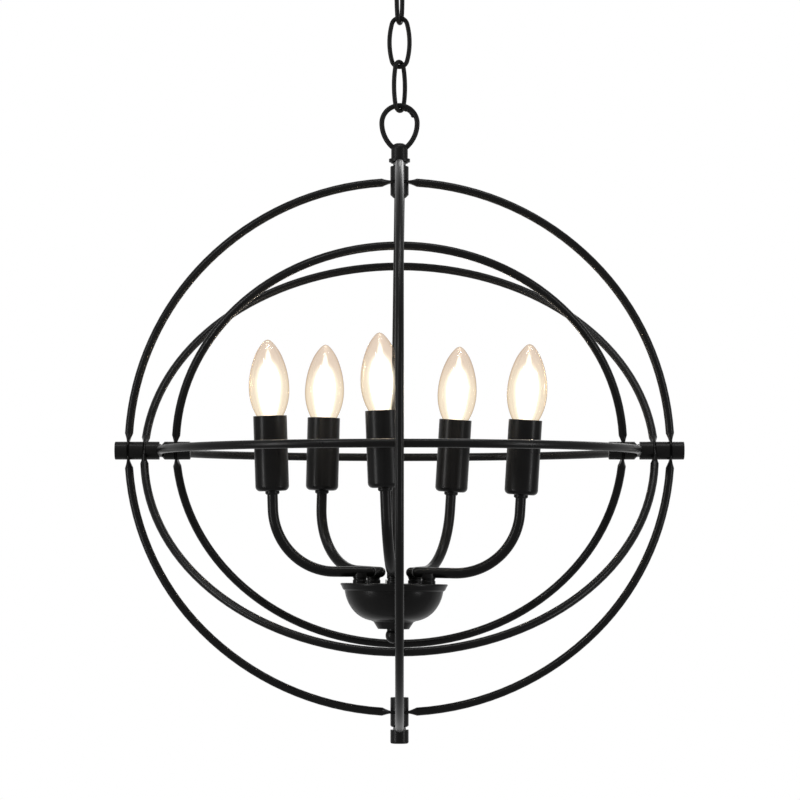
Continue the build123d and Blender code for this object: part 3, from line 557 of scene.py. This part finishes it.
glares = [glare(share, f"glare_{n}") for n, (_, share) in enumerate(GLARE_SHELLS)]
for number in LAMPS:
    for shell, (size, _) in enumerate(GLARE_SHELLS):
        points = at_lamp(number, turned(glare_outline(size), 40))
        mesh = grid_mesh(f"lamp_{number}_glare_{shell + 1}", points)
        piece = new_piece(mesh.name, mesh, glares[shell], f"lamp_{number}")
        piece.visible_shadow = False
print("glare shells", len(GLARE_SHELLS) * len(LAMPS))

# %% [markdown]
# ## Screw caps
# The lamp's brass cap is rolled into a thread. A thread is a turned surface whose radius
# also changes with the angle: it follows a cosine of the height minus the share of a turn
# already made, so the crest climbs one pitch for each time round.

# %% Threaded caps
CAP_RADIUS, CAP_FOOT, CAP_TOP = 5.95 * MM, 44.5 * MM, 58.4 * MM
THREAD_PITCH, THREAD_DEPTH = 2.54 * MM, 0.55 * MM
THREAD_END, THREAD_FADE = CAP_TOP - 3 * MM, 2 * MM
CAP_CONTACT = np.array([(0, 40.6), (2.1, 40.6), (2.4, 42.2), (4.6, 43.6)]) * MM
CAP_INSIDE = np.array([(5.0, 58.4), (5.0, 46.0), (0, 46.0)]) * MM


def threaded_cap(rows=90, columns=48):
    """Radius = cap radius less half the depth times one minus a cosine of climb and angle."""
    height = np.linspace(CAP_FOOT, CAP_TOP, rows)[:, None]
    angle = full_turn(columns)
    fade = np.clip((THREAD_END - height) / THREAD_FADE, 0, 1)
    wave = 0.5 - 0.5 * np.cos(2 * np.pi * height / THREAD_PITCH - angle)
    wall = round_the_axis(CAP_RADIUS - THREAD_DEPTH * wave * fade, height, angle)
    return np.concatenate([turned(CAP_CONTACT, columns), wall, turned(CAP_INSIDE, columns)])


for number in LAMPS:
    mesh = grid_mesh(f"lamp_{number}_screw_cap", at_lamp(number, threaded_cap()))
    piece = new_piece(mesh.name, mesh, brass, f"lamp_{number}")
    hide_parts(f"lamp_{number}_cap")
print("threaded caps", len(mesh.polygons), "faces each")

# %% [markdown]
# ## Weld on the hanging loop
# The loop is bent from rod and welded shut, and the photograph shows the weld as a few
# lumps inside its upper right. Each lump is a stretched ball, half sunk into the rod, and
# together they follow the loop's round end.

# %% Weld lumps
LOOP_ROUND_R = 15.9 * MM  # of the loop's round end
LOOP_DROP = 11.25 * MM  # from the joint down to the middle of that end
LOOP_MIDDLE = np.array(joint_named("orb_swing")["pos_m"]) - (0, 0, LOOP_DROP)
# where each lump's middle is: degrees from the top and share of the round's radius;
# then half its size in mm, along, across and into the rod
WELD_LUMPS = [(14, 0.83, (2.2, 1.9, 1.5)), (25, 0.85, (2.1, 1.8, 1.9)), (37, 0.85, (2.4, 2.0, 1.3)),
              (49, 0.86, (2.3, 1.9, 1.5)), (60, 0.84, (1.9, 1.7, 1.4))]


def lump(angle, share, size):
    """A ball stretched to its size along, across and into the rod, laid on the loop."""
    ball = turned(half_circle(13), 24) * np.array(size) * MM
    inward = np.array((-np.sin(angle), 0, -np.cos(angle)))
    along = np.array((np.cos(angle), 0, -np.sin(angle)))
    middle = LOOP_MIDDLE - inward * share * LOOP_ROUND_R
    return ball @ np.array([along, np.cross(inward, along), inward]) + middle


for number, (degrees, share, size) in enumerate(WELD_LUMPS, start=1):
    mesh = grid_mesh(f"loop_weld_{number}", lump(np.radians(degrees), share, size))
    new_piece(mesh.name, mesh, cast_paint, "orb_frame")
print("weld lumps", len(WELD_LUMPS))

# %% [markdown]
# ## Studio
# The photograph was taken against white, with a soft light high on the left. Narrow strips
# at both sides and above draw the fine bright lines along each tube, and the lamps add a
# warm glow of their own. White comes from what the camera sees behind the object, not
# from more light on it.

# %% World and floor
HUB = np.array(joint_named("side_ring_turn")["pos_m"])  # the orb's middle
LIGHT_ALL_ROUND = (0.75, 0.55)  # grey, strength
WHITE_BEHIND = (1.0, 1.0)
FLOOR_HEIGHT, FLOOR_REACH = -2.3, 9.0
FLOOR_FADES_BY = 5.0  # metres from the ceiling's middle
FLOOR_COLOUR = (0.86, 0.86, 0.85, 1)
FLOOR_SHADE = 0.12  # how much of the floor's own shade shows nearest the object


def surroundings():
    """Grey light all round for the object, plain white for the camera and through glass."""
    world = bpy.data.worlds.new("studio")
    bpy.context.scene.world = world
    world.use_nodes = True
    tree = world.node_tree
    tree.nodes.clear()
    path = tree.nodes.new("ShaderNodeLightPath")
    seen = path.outputs["Is Camera Ray"]
    for ray in ("Is Glossy Ray", "Is Transmission Ray"):
        either = tree.nodes.new("ShaderNodeMath")
        either.operation = "MAXIMUM"
        tree.links.new(seen, either.inputs[0])
        tree.links.new(path.outputs[ray], either.inputs[1])
        seen = either.outputs[0]
    mixed = tree.nodes.new("ShaderNodeMixShader")
    output = tree.nodes.new("ShaderNodeOutputWorld")
    for slot_number, (grey, strength) in enumerate((LIGHT_ALL_ROUND, WHITE_BEHIND), start=1):
        background = tree.nodes.new("ShaderNodeBackground")
        background.inputs["Color"].default_value = (grey, grey, grey, 1)
        background.inputs["Strength"].default_value = strength
        tree.links.new(background.outputs[0], mixed.inputs[slot_number])
    tree.links.new(seen, mixed.inputs[0])
    tree.links.new(mixed.outputs[0], output.inputs["Surface"])


def floor_paint():
    """Pale matt floor that takes the shadow and fades to plain white away from the object."""
    recipe = Recipe("pale_floor")
    shrunk = recipe.scaled((1 / FLOOR_FADES_BY,) * 3)
    near = recipe.node("ShaderNodeTexGradient", {"gradient_type": "SPHERICAL"}, {"Vector": shrunk}, out=1)
    camera, glossy, transmission = (recipe.node("ShaderNodeLightPath", out=n) for n in (0, 3, 6))
    seen = camera.maths("MAXIMUM", camera, glossy)
    seen = seen.maths("MAXIMUM", seen, transmission)
    matt = recipe.node("ShaderNodeBsdfDiffuse", sockets={"Color": FLOOR_COLOUR})
    white = recipe.node("ShaderNodeEmission", sockets={"Color": (1, 1, 1, 1), "Strength": 1.0})
    return recipe.blend(seen * (1 - near * FLOOR_SHADE), matt, white)


surroundings()
floor_mesh = bpy.data.meshes.new("floor")
corners = [(-1, -1), (1, -1), (1, 1), (-1, 1)]
floor_mesh.from_pydata([(x * FLOOR_REACH, y * FLOOR_REACH, FLOOR_HEIGHT) for x, y in corners],
                       [], [(0, 1, 2, 3)])
floor = bpy.data.objects.new("floor", floor_mesh)
bpy.context.collection.objects.link(floor)
floor_mesh.materials.append(floor_paint())

# %% Lights
# place measured from the orb's middle, then width and height in metres, and power in watts
SOFT_LIGHTS = {
    "upper_left_softbox": ((-1.5, -2.0, 1.9), 0.5, 0.5, 30),
    "left_strip": ((-2.2, -1.3, 0.1), 0.10, 2.2, 60),
    "right_strip": ((2.2, -1.3, 0.1), 0.10, 2.2, 48),
    "top_strip": ((0.2, -0.6, 2.4), 2.2, 0.15, 40),
    "back_fill": ((0.6, 2.4, 1.3), 1.2, 0.8, 8),
}
LAMP_POWER, LAMP_COLOUR = 0.5, (1.0, 0.88, 0.72)
LAMP_LIGHT_RADIUS, LAMP_LIGHT_HEIGHT = 12 * MM, 92 * MM


def new_light(name, kind, power, place):
    """A light of a kind at a place, in metres from the ceiling's middle."""
    data = bpy.data.lights.new(name, kind)
    data.energy = power
    light = bpy.data.objects.new(name, data)
    bpy.context.collection.objects.link(light)
    light.location = place
    return light


for name, (place, width, height, power) in SOFT_LIGHTS.items():
    light = new_light(name, "AREA", power, HUB + np.array(place))
    light.data.shape = "RECTANGLE"
    light.data.size, light.data.size_y = width, height
    light.rotation_euler = Vector(-np.array(place)).to_track_quat("-Z", "Y").to_euler()

for number in LAMPS:
    place = at_lamp(number, np.array((0, 0, LAMP_LIGHT_HEIGHT)))
    light = new_light(f"lamp_{number}_warmth", "POINT", LAMP_POWER, place)
    light.data.color = LAMP_COLOUR
    light.data.shadow_soft_size = LAMP_LIGHT_RADIUS
    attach(light, f"lamp_{number}")
print("lights", len(SOFT_LIGHTS) + len(LAMPS))

# %% [markdown]
# ## Camera
# The level ring shows its far side a little lower than its near side, so the camera was
# just under the orb's middle. Lines stay upright in the photograph, so the camera is
# level and its lens is shifted up.

# %% Camera
PHOTO_SIZE = 800
MM_PER_PIXEL = 0.9
CAMERA_AWAY = 3.24
CAMERA_BELOW = 96 * MM
CAMERA_RIGHT = 0.45 * MM
HORIZON_PIXEL = 557.3
SENSOR_MM = 36

camera_data = bpy.data.cameras.new("camera")
camera_data.sensor_width = SENSOR_MM
camera_data.lens = SENSOR_MM * CAMERA_AWAY / (PHOTO_SIZE * MM_PER_PIXEL * MM)
camera_data.shift_y = (HORIZON_PIXEL - PHOTO_SIZE / 2) / PHOTO_SIZE
camera_data.clip_end = 100
camera = bpy.data.objects.new("camera", camera_data)
bpy.context.collection.objects.link(camera)
camera.location = HUB + np.array((CAMERA_RIGHT, -CAMERA_AWAY, -CAMERA_BELOW))
camera.rotation_euler = (np.pi / 2, 0, 0)
bpy.context.scene.camera = camera
bpy.context.scene.view_settings.view_transform = "Standard"
print("lens", round(camera_data.lens, 1), "shift", round(camera_data.shift_y, 3))
